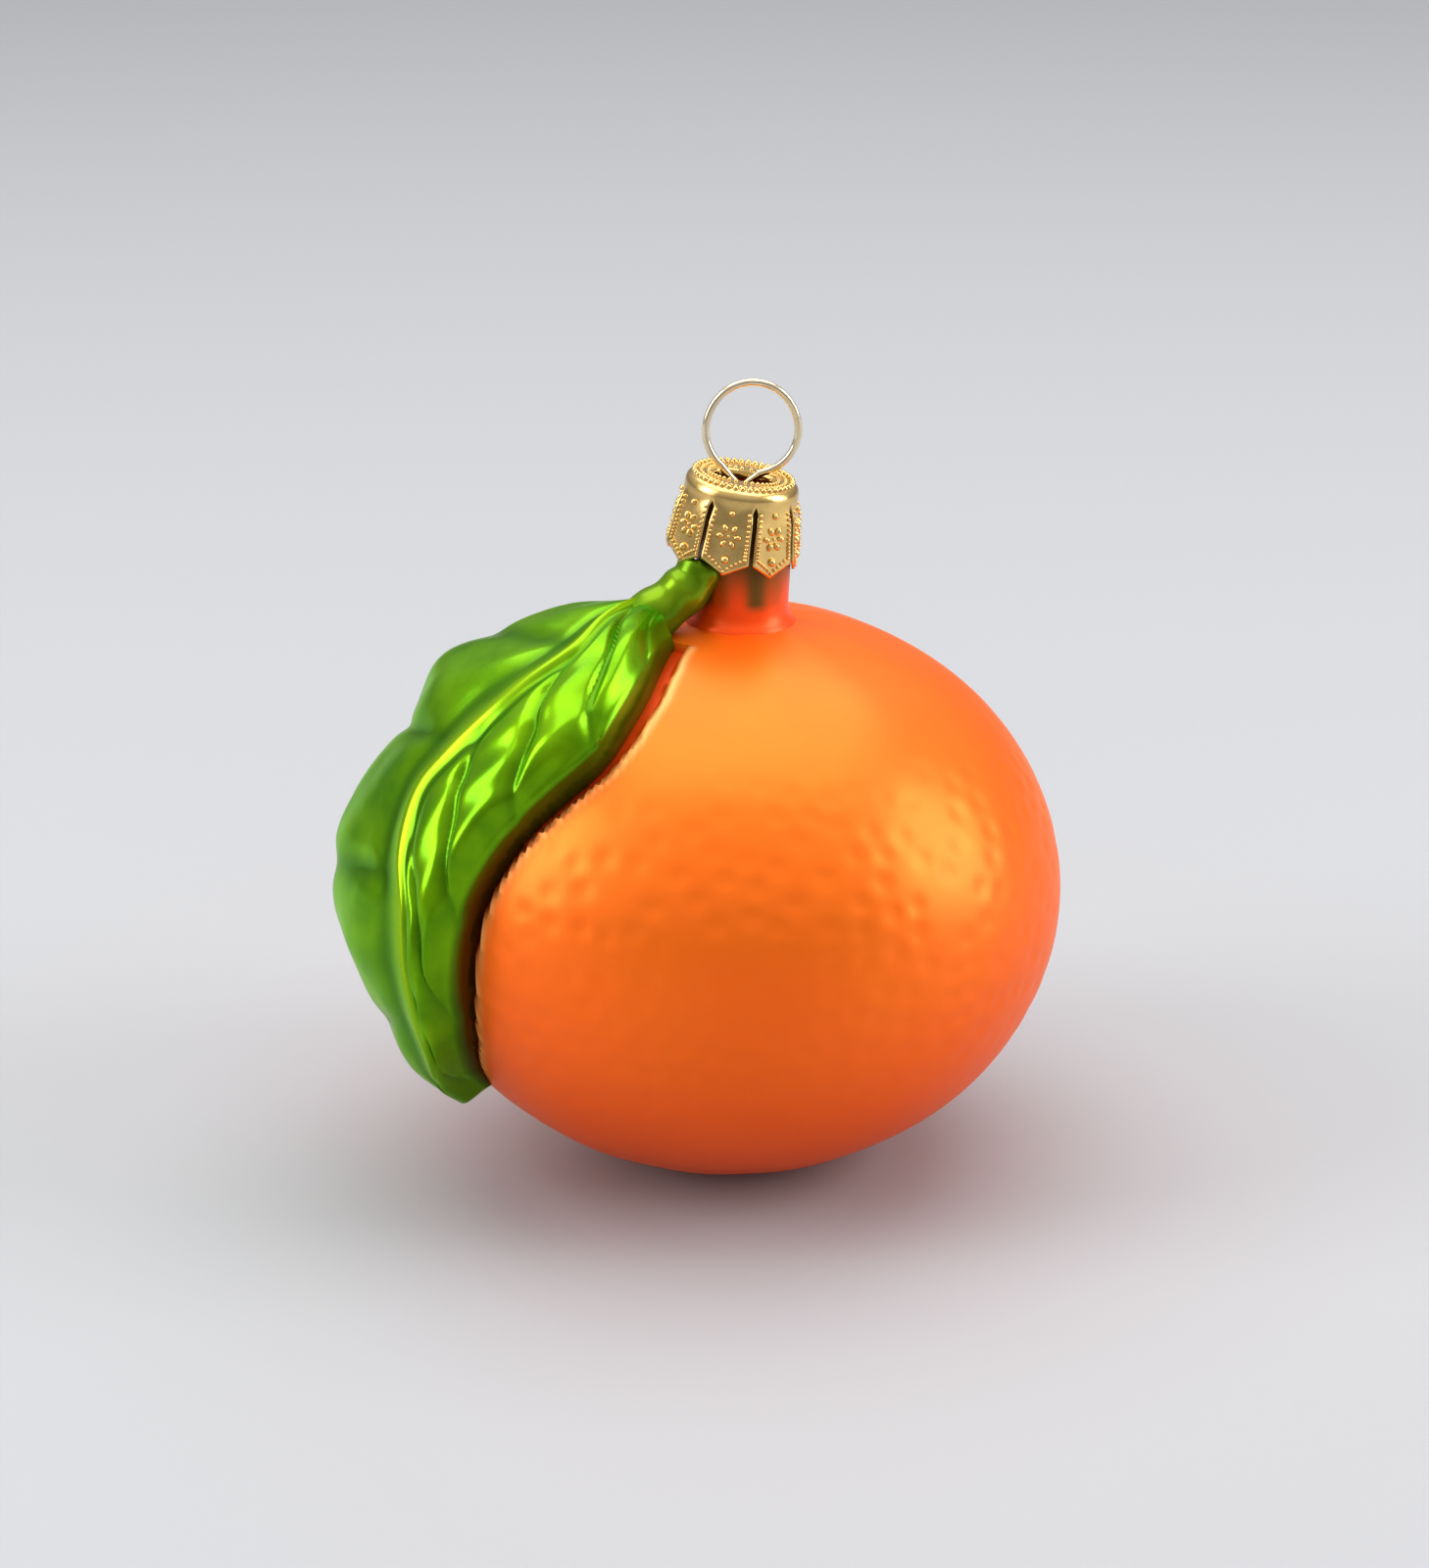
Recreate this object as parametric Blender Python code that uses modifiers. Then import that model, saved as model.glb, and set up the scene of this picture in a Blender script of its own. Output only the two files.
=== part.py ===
"""Blown-glass mandarin ornament: a hollow glass fruit with a moulded leaf, a stamped cap and a wire hanger."""
import math

import bmesh
import bpy
from mathutils import Vector

# Fruit, a flattened ball that stands on a small flat; the origin is the middle of that flat.
FRUIT_RADIUS = 0.0315
FRUIT_HALF_HEIGHT = 0.0269
FLAT_DEPTH = 0.0008
GLASS_WALL = 0.0009
FRUIT_CENTRE_Z = FRUIT_HALF_HEIGHT - FLAT_DEPTH
FRUIT_ROWS = 22
FRUIT_STEPS = 48

# Neck, a short tube that the cap slips over.
NECK_BASE = Vector((0.0008, 0.0, 0.0500))
NECK_LEAN = math.radians(3.0)
NECK_HEIGHT = 0.0147
NECK_RADIUS = 0.0044
NECK_BORE_RADIUS = 0.0035
NECK_ROOT_FLARE = 0.0012
NECK_ROOT_Z = 0.0024

# Stalk, a short tube from the neck to the leaf's base.
STALK_RADIUS = 0.0020
STALK_ROUTE = [
    (-0.0022, -0.0024, 0.0568),
    (-0.0042, -0.0033, 0.0558),
    (-0.0066, -0.0040, 0.0544),
    (-0.0092, -0.0046, 0.0528),
    (-0.0118, -0.0052, 0.0510),
]

# Leaf, laid over the fruit's left side. Each row gives a latitude, then the azimuth (from -X towards
# the front) of the left edge, the midrib and the right edge in degrees, then their heights in mm.
LEAF_ROWS = [
    (75.0, 2.0, 28.0, 50.0, 1.6, 3.6, 2.4),
    (68.0, -6.0, 34.0, 57.0, 2.4, 4.4, 3.6),
    (60.0, -8.0, 40.0, 61.0, 3.6, 4.7, 4.2),
    (50.0, -9.0, 36.0, 61.0, 4.8, 4.8, 4.4),
    (43.0, -9.0, 33.5, 59.0, 5.4, 4.8, 4.4),
    (35.0, -7.0, 30.0, 53.5, 3.9, 4.7, 4.3),
    (28.0, -6.0, 27.5, 49.0, 3.7, 4.6, 4.3),
    (18.0, -4.0, 30.0, 45.0, 5.0, 4.6, 4.3),
    (10.0, -2.0, 34.0, 43.0, 6.3, 4.6, 4.3),
    (0.0, 0.0, 35.6, 42.0, 5.8, 4.6, 4.3),
    (-8.0, 3.0, 36.5, 41.0, 4.3, 4.5, 4.0),
    (-18.0, 9.0, 36.0, 38.6, 3.9, 4.2, 3.6),
    (-27.0, 16.0, 30.5, 34.0, 3.5, 3.6, 3.0),
    (-34.0, 24.0, 27.5, 31.0, 2.6, 2.8, 2.2),
]
LEAF_STATIONS = 40
LEAF_ACROSS = 14
LEAF_FOOT_DEPTH = 0.0030
LEAF_SWELL = 0.0006

# Cap, a thin stamped cup that leans to the right, with an oval slot and eight flat tabs.
CAP_TOP = Vector((0.00124, 0.0, 0.0663))
CAP_LEAN = math.radians(8.5)
CAP_TURN = math.radians(-7.5)
CAP_METAL = 0.0003
CAP_HEIGHT = 0.0080
CAP_SHOULDER_RADIUS = 0.0053
CAP_SHOULDER_ROUND = 0.0010
CAP_SHOULDER_HEIGHT = 0.0019
CAP_SKIRT_TOP = 0.0053
CAP_SKIRT_BOTTOM = 0.0060
TAB_COUNT = 8
TAB_SLIT = 0.0005
TAB_POINT = 0.0012
SLOT_LENGTH = 0.0054
SLOT_WIDTH = 0.0032

# Hanger, one length of wire: a ring whose legs cross under the slot and spring apart in the neck.
WIRE_RADIUS = 0.00035
RING_CENTRE = Vector((0.0020, 0.0, 0.0710))
RING_RADIUS = 0.00425
RING_STRETCH = 1.06
RING_START = math.radians(-62.0)
RING_END = math.radians(242.0)
RING_STEPS = 44
LEG_GAP = 0.0005
RIGHT_LEG = [(0.0030, 0.0663), (0.0016, 0.0642), (-0.0006, 0.0612), (-0.0013, 0.0582)]
LEFT_LEG = [(0.0005, 0.0663), (0.0013, 0.0642), (0.0026, 0.0612), (0.0032, 0.0582)]

TURN_STEPS = 64
MERGE = 0.00005


def clear_scene():
    for item in list(bpy.data.objects):
        bpy.data.objects.remove(item, do_unlink=True)


def add_collection(name):
    group = bpy.data.collections.new(name)
    bpy.context.scene.collection.children.link(group)
    return group


def add_material(name, colour, roughness, metallic):
    material = bpy.data.materials.new(name)
    material.use_nodes = True
    shader = material.node_tree.nodes["Principled BSDF"]
    shader.inputs["Base Color"].default_value = (*colour, 1.0)
    shader.inputs["Roughness"].default_value = roughness
    shader.inputs["Metallic"].default_value = metallic
    return material


def add_object(name, data, group, parent=None):
    item = bpy.data.objects.new(name, data)
    group.objects.link(item)
    item.parent = parent
    return item


def hide_cutter(item):
    item.hide_render = True
    item.display_type = "WIRE"


def combine(target, cutter, operation):
    change = target.modifiers.new(cutter.name, "BOOLEAN")
    change.operation = operation
    change.solver = "EXACT"
    change.object = cutter
    hide_cutter(cutter)


def turned(name, profile, group, steps=TURN_STEPS, parent=None):
    """Turn a profile of (radius, z) points, listed from top to bottom, about Z."""
    mesh = bpy.data.meshes.new(name)
    points = [(radius, 0.0, z) for radius, z in profile]
    mesh.from_pydata(points, [(i, i + 1) for i in range(len(points) - 1)], [])
    item = add_object(name, mesh, group, parent)
    screw = item.modifiers.new("turn", "SCREW")
    screw.axis = "Z"
    screw.steps = steps
    screw.render_steps = steps
    screw.use_merge_vertices = True
    screw.merge_threshold = MERGE
    return item


def fruit_profile(inset):
    """Half outline of the fruit, cut off by the flat that it stands on."""
    radius = FRUIT_RADIUS - inset
    half = FRUIT_HALF_HEIGHT - inset
    floor = -(FRUIT_CENTRE_Z - inset)
    last = math.asin(floor / half)
    points = [(0.0, FRUIT_CENTRE_Z + half)]
    for i in range(1, FRUIT_ROWS + 1):
        angle = math.pi / 2 + (last - math.pi / 2) * i / FRUIT_ROWS
        points.append((radius * math.cos(angle), FRUIT_CENTRE_Z + half * math.sin(angle)))
    points.append((0.0, FRUIT_CENTRE_Z + floor))
    return points


def over_fruit(azimuth, latitude, height):
    """A point at a height over the fruit's skin."""
    radius = FRUIT_RADIUS + height
    half = FRUIT_HALF_HEIGHT + height
    across = radius * math.cos(latitude)
    return Vector((
        -across * math.cos(azimuth),
        -across * math.sin(azimuth),
        FRUIT_CENTRE_Z + half * math.sin(latitude),
    ))


def smooth_row(place):
    """Values of the leaf's rows at a place from 0 (base) to 1 (tip), by a Catmull-Rom curve."""
    scaled = place * (len(LEAF_ROWS) - 1)
    i = min(int(scaled), len(LEAF_ROWS) - 2)
    t = scaled - i
    before = LEAF_ROWS[max(i - 1, 0)]
    start, end = LEAF_ROWS[i], LEAF_ROWS[i + 1]
    after = LEAF_ROWS[min(i + 2, len(LEAF_ROWS) - 1)]
    return [
        0.5 * (2 * b + (c - a) * t + (2 * a - 5 * b + 4 * c - d) * t * t + (3 * b - a - 3 * c + d) * t ** 3)
        for a, b, c, d in zip(before, start, end, after)
    ]


def leaf_section(place, inset):
    """One closed outline across the leaf: over the top from left to right, then back under it."""
    latitude, left, rib, right, left_height, rib_height, right_height = smooth_row(place)
    latitude = math.radians(latitude)
    sideways = inset / (FRUIT_RADIUS * max(math.cos(latitude), 0.3))
    left = math.radians(left) + sideways
    right = math.radians(right) - sideways
    rib = min(max(math.radians(rib), left + 0.02), right - 0.02)
    top, foot = [], []
    half = LEAF_ACROSS // 2
    for i in range(LEAF_ACROSS + 1):
        if i <= half:
            t = i / half
            azimuth = left + (rib - left) * t
            height = left_height + (rib_height - left_height) * t
        else:
            t = (i - half) / (LEAF_ACROSS - half)
            azimuth = rib + (right - rib) * t
            height = rib_height + (right_height - rib_height) * t
        height = height / 1000 + LEAF_SWELL * math.sin(math.pi * t) - inset
        top.append(over_fruit(azimuth, latitude, height))
        foot.append(over_fruit(azimuth, latitude, -LEAF_FOOT_DEPTH))
    return top + foot[::-1]


def add_leaf(name, inset, first, last, group):
    """Loft the leaf's outlines from its base to its tip and close both ends."""
    mesh = bpy.data.meshes.new(name)
    form = bmesh.new()
    rings = []
    for i in range(LEAF_STATIONS + 1):
        place = first + (last - first) * i / LEAF_STATIONS
        rings.append([form.verts.new(point) for point in leaf_section(place, inset)])
    count = len(rings[0])
    for ring, following in zip(rings, rings[1:]):
        for i in range(count):
            j = (i + 1) % count
            form.faces.new((ring[i], ring[j], following[j], following[i]))
    for ring in (rings[0], rings[-1]):
        for i in range(LEAF_ACROSS):
            form.faces.new((ring[i], ring[i + 1], ring[count - 2 - i], ring[count - 1 - i]))
    bmesh.ops.recalc_face_normals(form, faces=form.faces)
    form.to_mesh(mesh)
    form.free()
    return add_object(name, mesh, group)


def curve_mesh(name, points, radius, bevel_resolution, group, parent=None):
    """A round wire or tube along points, made a closed mesh."""
    curve = bpy.data.curves.new(name + "_path", "CURVE")
    curve.dimensions = "3D"
    curve.bevel_depth = radius
    curve.bevel_resolution = bevel_resolution
    curve.use_fill_caps = True
    spline = curve.splines.new("POLY")
    spline.points.add(len(points) - 1)
    for slot, point in zip(spline.points, points):
        slot.co = (*point, 1.0)
    path = bpy.data.objects.new(name + "_path", curve)
    bpy.context.scene.collection.objects.link(path)
    bpy.context.view_layer.update()
    evaluated = path.evaluated_get(bpy.context.evaluated_depsgraph_get())
    mesh = bpy.data.meshes.new_from_object(evaluated)
    form = bmesh.new()
    form.from_mesh(mesh)
    bmesh.ops.remove_doubles(form, verts=form.verts, dist=0.000001)
    bmesh.ops.recalc_face_normals(form, faces=form.faces)
    form.to_mesh(mesh)
    form.free()
    item = add_object(name, mesh, group, parent)
    item.matrix_world = path.matrix_world
    bpy.data.objects.remove(path, do_unlink=True)
    return item


def add_block(name, size, location, turn, group, parent):
    """A box cutter, turned about Z by an angle."""
    mesh = bpy.data.meshes.new(name)
    form = bmesh.new()
    bmesh.ops.create_cube(form, size=1.0)
    bmesh.ops.scale(form, vec=size, verts=form.verts)
    form.to_mesh(mesh)
    form.free()
    item = add_object(name, mesh, group, parent)
    item.location = location
    item.rotation_euler = turn
    return item


def build_glass(parts, cutters):
    glass = turned("glass_body", fruit_profile(0.0), parts, FRUIT_STEPS)
    glass.data.materials.append(add_material("orange_lacquer", (0.85, 0.20, 0.02), 0.38, 0.55))

    leaf = add_leaf("leaf_form", 0.0, 0.0, 1.0, cutters)
    combine(glass, leaf, "UNION")
    stalk = curve_mesh("stalk_form", STALK_ROUTE, STALK_RADIUS, 4, cutters)
    combine(glass, stalk, "UNION")

    neck_profile = [
        (0.0, NECK_HEIGHT),
        (NECK_RADIUS, NECK_HEIGHT),
        (NECK_RADIUS, NECK_ROOT_Z + NECK_ROOT_FLARE),
        (NECK_RADIUS + NECK_ROOT_FLARE, NECK_ROOT_Z),
        (NECK_RADIUS + NECK_ROOT_FLARE, 0.0),
        (0.0, 0.0),
    ]
    neck = turned("neck_form", neck_profile, cutters, FRUIT_STEPS)
    neck.location = NECK_BASE
    neck.rotation_euler = (0.0, NECK_LEAN, 0.0)
    combine(glass, neck, "UNION")

    cavity = turned("fruit_hollow", fruit_profile(GLASS_WALL), cutters, FRUIT_STEPS)
    combine(glass, cavity, "DIFFERENCE")
    hollow = add_leaf("leaf_hollow", GLASS_WALL * 1.2, 0.07, 0.94, cutters)
    combine(glass, hollow, "DIFFERENCE")
    bore_profile = [
        (0.0, NECK_HEIGHT + 0.001),
        (NECK_BORE_RADIUS, NECK_HEIGHT + 0.001),
        (NECK_BORE_RADIUS, -0.004),
        (0.0, -0.004),
    ]
    bore = turned("neck_bore", bore_profile, cutters, FRUIT_STEPS)
    bore.location = NECK_BASE
    bore.rotation_euler = (0.0, NECK_LEAN, 0.0)
    combine(glass, bore, "DIFFERENCE")
    return glass


def shoulder_outline(radius, corner, top):
    """Quarter round from the cap's flat top to its side."""
    points = []
    for i in range(7):
        angle = math.pi / 2 * (1 - i / 6)
        points.append((radius - corner + corner * math.cos(angle), top - corner + corner * math.sin(angle)))
    return points


def add_octagon(name, top_apothem, bottom_apothem, top_z, bottom_z, group, parent):
    """An eight-sided frustum whose first flat faces the front."""
    to_corner = 1 / math.cos(math.pi / TAB_COUNT)
    mesh = bpy.data.meshes.new(name)
    form = bmesh.new()
    bmesh.ops.create_cone(
        form, cap_ends=True, segments=TAB_COUNT, depth=top_z - bottom_z,
        radius1=bottom_apothem * to_corner, radius2=top_apothem * to_corner,
    )
    form.to_mesh(mesh)
    form.free()
    item = add_object(name, mesh, group, parent)
    item.location = (0.0, 0.0, (top_z + bottom_z) / 2)
    item.rotation_euler = (0.0, 0.0, math.pi / TAB_COUNT)
    return item


def build_cap(parts, cutters):
    frame = add_object("cap_frame", None, parts)
    frame.location = CAP_TOP
    frame.rotation_euler = (0.0, CAP_LEAN, CAP_TURN)

    outer = [(0.0, 0.0)] + shoulder_outline(CAP_SHOULDER_RADIUS, CAP_SHOULDER_ROUND, 0.0)
    outer.append((CAP_SHOULDER_RADIUS, -CAP_SHOULDER_HEIGHT))
    inner_radius = CAP_SHOULDER_RADIUS - CAP_METAL
    inner = shoulder_outline(inner_radius, CAP_SHOULDER_ROUND - CAP_METAL, -CAP_METAL)
    inner.append((inner_radius, -CAP_SHOULDER_HEIGHT))
    profile = outer + inner[::-1] + [(0.0, -CAP_METAL)]
    cap = turned("ornament_cap", profile, parts, TURN_STEPS, frame)
    cap.data.materials.append(add_material("cap_gold", (0.80, 0.58, 0.24), 0.30, 1.0))

    skirt_top = -CAP_SHOULDER_ROUND
    skirt = add_octagon(
        "skirt_form", CAP_SKIRT_TOP, CAP_SKIRT_BOTTOM, skirt_top, -CAP_HEIGHT, cutters, frame)
    inside = add_octagon(
        "skirt_hollow", CAP_SKIRT_TOP - CAP_METAL, CAP_SKIRT_BOTTOM - CAP_METAL,
        skirt_top + 0.00005, -CAP_HEIGHT - 0.0001, cutters, frame)
    combine(skirt, inside, "DIFFERENCE")
    combine(cap, skirt, "UNION")

    slit_height = CAP_HEIGHT - CAP_SHOULDER_HEIGHT
    for i in range(TAB_COUNT):
        turn = 2 * math.pi * (i + 0.5) / TAB_COUNT
        ahead = Vector((math.cos(turn), math.sin(turn), 0.0))
        slit = add_block(
            f"slit_{i + 1}", (0.004, TAB_SLIT, slit_height),
            ahead * 0.0061 + Vector((0.0, 0.0, -CAP_HEIGHT + slit_height / 2 - 0.0003)),
            (0.0, 0.0, turn), cutters, frame)
        combine(cap, slit, "DIFFERENCE")
        notch = add_block(
            f"notch_{i + 1}", (0.004, TAB_POINT * 2.4, TAB_POINT * 2.4),
            ahead * 0.0066 + Vector((0.0, 0.0, -CAP_HEIGHT - 0.0005)),
            (math.pi / 4, 0.0, turn), cutters, frame)
        combine(cap, notch, "DIFFERENCE")

    slot_side = (SLOT_LENGTH - SLOT_WIDTH) / 2
    slot_mesh = bpy.data.meshes.new("slot_cut")
    form = bmesh.new()
    bmesh.ops.create_cone(
        form, cap_ends=True, segments=24, depth=0.003, radius1=SLOT_WIDTH / 2, radius2=SLOT_WIDTH / 2)
    for vert in form.verts:
        if abs(vert.co.x) > MERGE:
            vert.co.x += math.copysign(slot_side, vert.co.x)
    form.to_mesh(slot_mesh)
    form.free()
    slot = add_object("slot_cut", slot_mesh, cutters, frame)
    combine(cap, slot, "DIFFERENCE")
    return cap


def build_hanger(parts):
    points = [Vector((x, LEG_GAP, z)) for x, z in reversed(RIGHT_LEG)]
    for i in range(RING_STEPS + 1):
        share = i / RING_STEPS
        angle = RING_START + (RING_END - RING_START) * share
        rise = RING_STRETCH if math.sin(angle) > 0 else 1.0
        points.append(RING_CENTRE + Vector((
            RING_RADIUS * math.cos(angle),
            LEG_GAP * math.cos(math.pi * share),
            RING_RADIUS * rise * math.sin(angle),
        )))
    points += [Vector((x, -LEG_GAP, z)) for x, z in LEFT_LEG]
    hanger = curve_mesh("wire_hanger", points, WIRE_RADIUS, 2, parts)
    hanger.data.materials.append(add_material("pale_gold_wire", (0.86, 0.74, 0.50), 0.22, 1.0))
    return hanger


def shade(item):
    item.data.shade_smooth()


def main():
    clear_scene()
    parts = add_collection("mandarin_ornament")
    cutters = add_collection("cutters")
    for item in (build_glass(parts, cutters), build_cap(parts, cutters), build_hanger(parts)):
        shade(item)
    bpy.context.view_layer.update()


main()
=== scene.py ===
"""A blown-glass mandarin ornament: satin orange fruit, glossy green leaf, stamped gold cap and wire ring."""
import math

import bmesh
import bpy
from bpy.props import FloatProperty, FloatVectorProperty, IntProperty, PointerProperty
from mathutils import Euler, Matrix, Vector


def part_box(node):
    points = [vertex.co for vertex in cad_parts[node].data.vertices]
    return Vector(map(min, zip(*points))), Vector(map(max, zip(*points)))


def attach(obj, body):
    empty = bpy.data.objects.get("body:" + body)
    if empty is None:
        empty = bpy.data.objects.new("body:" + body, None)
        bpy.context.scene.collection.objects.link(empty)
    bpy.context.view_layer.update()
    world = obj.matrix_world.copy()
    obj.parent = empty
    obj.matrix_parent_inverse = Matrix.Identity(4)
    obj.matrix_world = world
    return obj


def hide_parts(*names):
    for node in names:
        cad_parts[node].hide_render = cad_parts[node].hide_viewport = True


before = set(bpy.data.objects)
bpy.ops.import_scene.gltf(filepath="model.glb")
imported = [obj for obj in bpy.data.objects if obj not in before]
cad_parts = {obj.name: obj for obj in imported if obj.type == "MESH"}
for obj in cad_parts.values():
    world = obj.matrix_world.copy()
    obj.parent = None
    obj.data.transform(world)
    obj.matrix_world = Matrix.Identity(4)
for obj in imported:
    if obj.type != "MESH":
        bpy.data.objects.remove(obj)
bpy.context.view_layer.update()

bl_info = {
    "name": "Glass Mandarin Ornament",
    "version": (1, 0, 0),
    "blender": (4, 5, 0),
    "location": "3D View > Sidebar > Ornament",
    "description": "Builds a blown-glass mandarin ornament with its leaf, cap and wire ring",
    "category": "Add Mesh",
}

BODY_LOW, BODY_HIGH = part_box("glass_body")
MM = 0.001

# The leaf's rows: latitude on the fruit, azimuths from -X towards the front (left edge, midrib, right
# edge, in degrees), and the same three lines' heights over the fruit in mm.
LEAF_ROWS = [
    (75.0, 2.0, 28.0, 50.0, 1.6, 3.6, 2.4),
    (68.0, -6.0, 34.0, 57.0, 2.4, 4.4, 3.6),
    (60.0, -8.0, 40.0, 61.0, 3.6, 4.7, 4.2),
    (50.0, -9.0, 36.0, 61.0, 4.8, 4.8, 4.4),
    (43.0, -9.0, 33.5, 59.0, 5.4, 4.8, 4.4),
    (35.0, -7.0, 30.0, 53.5, 3.9, 4.7, 4.3),
    (28.0, -6.0, 27.5, 49.0, 3.7, 4.6, 4.3),
    (18.0, -4.0, 30.0, 45.0, 5.0, 4.6, 4.3),
    (10.0, -2.0, 34.0, 43.0, 6.3, 4.6, 4.3),
    (0.0, 0.0, 35.6, 42.0, 5.8, 4.6, 4.3),
    (-8.0, 3.0, 36.5, 41.0, 4.3, 4.5, 4.0),
    (-18.0, 9.0, 36.0, 38.6, 3.9, 4.2, 3.6),
    (-27.0, 16.0, 30.5, 34.0, 3.5, 3.6, 3.0),
    (-34.0, 24.0, 27.5, 31.0, 2.6, 2.8, 2.2),
]
STALK_ROUTE = [
    (-2.5, -2.5, 58.6), (-3.5, -3.0, 57.0), (-5.4, -3.6, 55.3), (-8.2, -4.4, 53.5), (-12.0, -5.3, 51.2),
]
RIGHT_LEG = [(2.4, 66.15), (1.0, 64.8), (-0.6, 61.8), (-1.3, 58.2)]
LEFT_LEG = [(0.0, 66.35), (1.1, 65.0), (2.5, 62.0), (3.2, 58.2)]


class FruitSettings(bpy.types.PropertyGroup):
    radius: FloatProperty(
        name="Radius", description="Fruit radius", default=BODY_HIGH.x, unit="LENGTH")
    half_height: FloatProperty(
        name="Half height", description="Half the fruit's height before its flat", default=26.9 * MM,
        unit="LENGTH")
    flat_depth: FloatProperty(
        name="Flat", description="Depth of the flat it stands on", default=0.8 * MM, unit="LENGTH")
    pit_spacing: FloatProperty(
        name="Pit spacing", description="Least distance between peel pits", default=2.3 * MM, unit="LENGTH")
    pit_radius: FloatProperty(
        name="Pit radius", description="Radius of a peel pit", default=1.5 * MM, unit="LENGTH")
    pit_depth: FloatProperty(
        name="Pit depth", description="Depth of a peel pit", default=0.13 * MM, unit="LENGTH")
    seed: IntProperty(name="Seed", description="Seed of the pits", default=7)
    orange: FloatVectorProperty(
        name="Orange", description="Satin lacquer colour", subtype="COLOR", default=(1.0, 0.172, 0.006))
    # Painted shade: the lower fruit is painted a deeper, darker orange, standing in for the darker
    # reflection it shows there.
    low_shade_orange: FloatVectorProperty(
        name="Low orange", description="Lacquer that ran towards the underside", subtype="COLOR",
        default=(1.0, 0.105, 0.001))
    deep_orange: FloatVectorProperty(
        name="Deep orange", description="Darker lacquer in the groove", subtype="COLOR",
        default=(0.88, 0.060, 0.002))


class LeafSettings(bpy.types.PropertyGroup):
    green: FloatVectorProperty(
        name="Green", description="Leaf lacquer colour", subtype="COLOR", default=(0.19, 0.44, 0.001))
    dark_green: FloatVectorProperty(
        name="Dark green", description="Lacquer pooled beside the veins", subtype="COLOR",
        default=(0.035, 0.14, 0.001))
    brown: FloatVectorProperty(
        name="Brown", description="Lacquer on the leaf's wall", subtype="COLOR",
        default=(0.075, 0.030, 0.001))
    stalk_green: FloatVectorProperty(
        name="Stalk green", description="Stalk lacquer colour", subtype="COLOR", default=(0.16, 0.29, 0.004))
    stalk_radius: FloatProperty(
        name="Stalk radius", description="Radius of the stalk", default=2.0 * MM, unit="LENGTH")


class CapSettings(bpy.types.PropertyGroup):
    top: FloatVectorProperty(
        name="Top", description="Middle of the cap's top", subtype="TRANSLATION",
        default=(1.24 * MM, 0.0, 66.3 * MM))
    lean: FloatProperty(
        name="Lean", description="Lean to the right", default=math.radians(8.5), subtype="ANGLE")
    turn: FloatProperty(
        name="Turn", description="Turn of the front tab", default=math.radians(-7.5), subtype="ANGLE")
    metal: FloatProperty(name="Metal", description="Sheet thickness", default=0.25 * MM, unit="LENGTH")
    gold: FloatVectorProperty(
        name="Gold", description="Colour of the stamped metal", subtype="COLOR", default=(0.82, 0.56, 0.20))


class WireSettings(bpy.types.PropertyGroup):
    radius: FloatProperty(
        name="Wire radius", description="Radius of the wire", default=0.35 * MM, unit="LENGTH")
    ring_radius: FloatProperty(
        name="Ring radius", description="Radius to the wire's middle", default=4.25 * MM, unit="LENGTH")
    pale_gold: FloatVectorProperty(
        name="Pale gold", description="Colour of the wire", subtype="COLOR", default=(0.80, 0.68, 0.46))


class StageSettings(bpy.types.PropertyGroup):
    floor: FloatVectorProperty(
        name="Floor", description="Colour of the plain floor", subtype="COLOR", default=(0.39, 0.396, 0.408))
    lens: FloatProperty(name="Lens", description="Camera lens in mm", default=96.227)


def link_object(name, mesh):
    item = bpy.data.objects.new(name, mesh)
    bpy.context.scene.collection.objects.link(item)
    return item


def place_piece(item, node):
    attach(item, "root")
    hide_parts(node)


def mesh_from(name, form, smooth_angle=None):
    mesh = bpy.data.meshes.new(name)
    form.to_mesh(mesh)
    form.free()
    mesh.shade_smooth()
    if smooth_angle is not None:
        mesh.set_sharp_from_angle(angle=math.radians(smooth_angle))
    return mesh


def smoothstep(low, high, value):
    t = min(max((value - low) / (high - low), 0.0), 1.0)
    return t * t * (3 - 2 * t)


def catmull(before, start, end, after, t):
    return 0.5 * (
        2 * start + (end - before) * t + (2 * before - 5 * start + 4 * end - after) * t * t
        + (3 * start - before - 3 * end + after) * t ** 3
    )


def leaf_row(place):
    """The leaf's seven row values at a place from 0 (base) to 1 (tip)."""
    scaled = min(max(place, 0.0), 1.0) * (len(LEAF_ROWS) - 1)
    i = min(int(scaled), len(LEAF_ROWS) - 2)
    before = LEAF_ROWS[max(i - 1, 0)]
    after = LEAF_ROWS[min(i + 2, len(LEAF_ROWS) - 1)]
    rows = [before, LEAF_ROWS[i], LEAF_ROWS[i + 1], after]
    return [catmull(*values, scaled - i) for values in zip(*rows)]


def border_azimuth(latitude):
    """The leaf's right border at a latitude in degrees, or None outside the leaf."""
    if not LEAF_ROWS[-1][0] <= latitude <= LEAF_ROWS[0][0]:
        return None
    for upper, lower in zip(LEAF_ROWS, LEAF_ROWS[1:]):
        if lower[0] <= latitude <= upper[0]:
            t = (upper[0] - latitude) / (upper[0] - lower[0])
            return upper[3] + (lower[3] - upper[3]) * t
    return None


def over_fruit(fruit, azimuth, latitude, height):
    across = (fruit.radius + height) * math.cos(latitude)
    return Vector((
        -across * math.cos(azimuth),
        -across * math.sin(azimuth),
        fruit.half_height - fruit.flat_depth + (fruit.half_height + height) * math.sin(latitude),
    ))


# Shared shader groups


def new_group(name, inputs, outputs):
    group = bpy.data.node_groups.new(name, "ShaderNodeTree")
    for label, kind, value in inputs:
        socket = group.interface.new_socket(name=label, in_out="INPUT", socket_type=kind)
        socket.default_value = value
    for label, kind in outputs:
        group.interface.new_socket(name=label, in_out="OUTPUT", socket_type=kind)
    return group, group.nodes.new("NodeGroupInput"), group.nodes.new("NodeGroupOutput")


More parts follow.
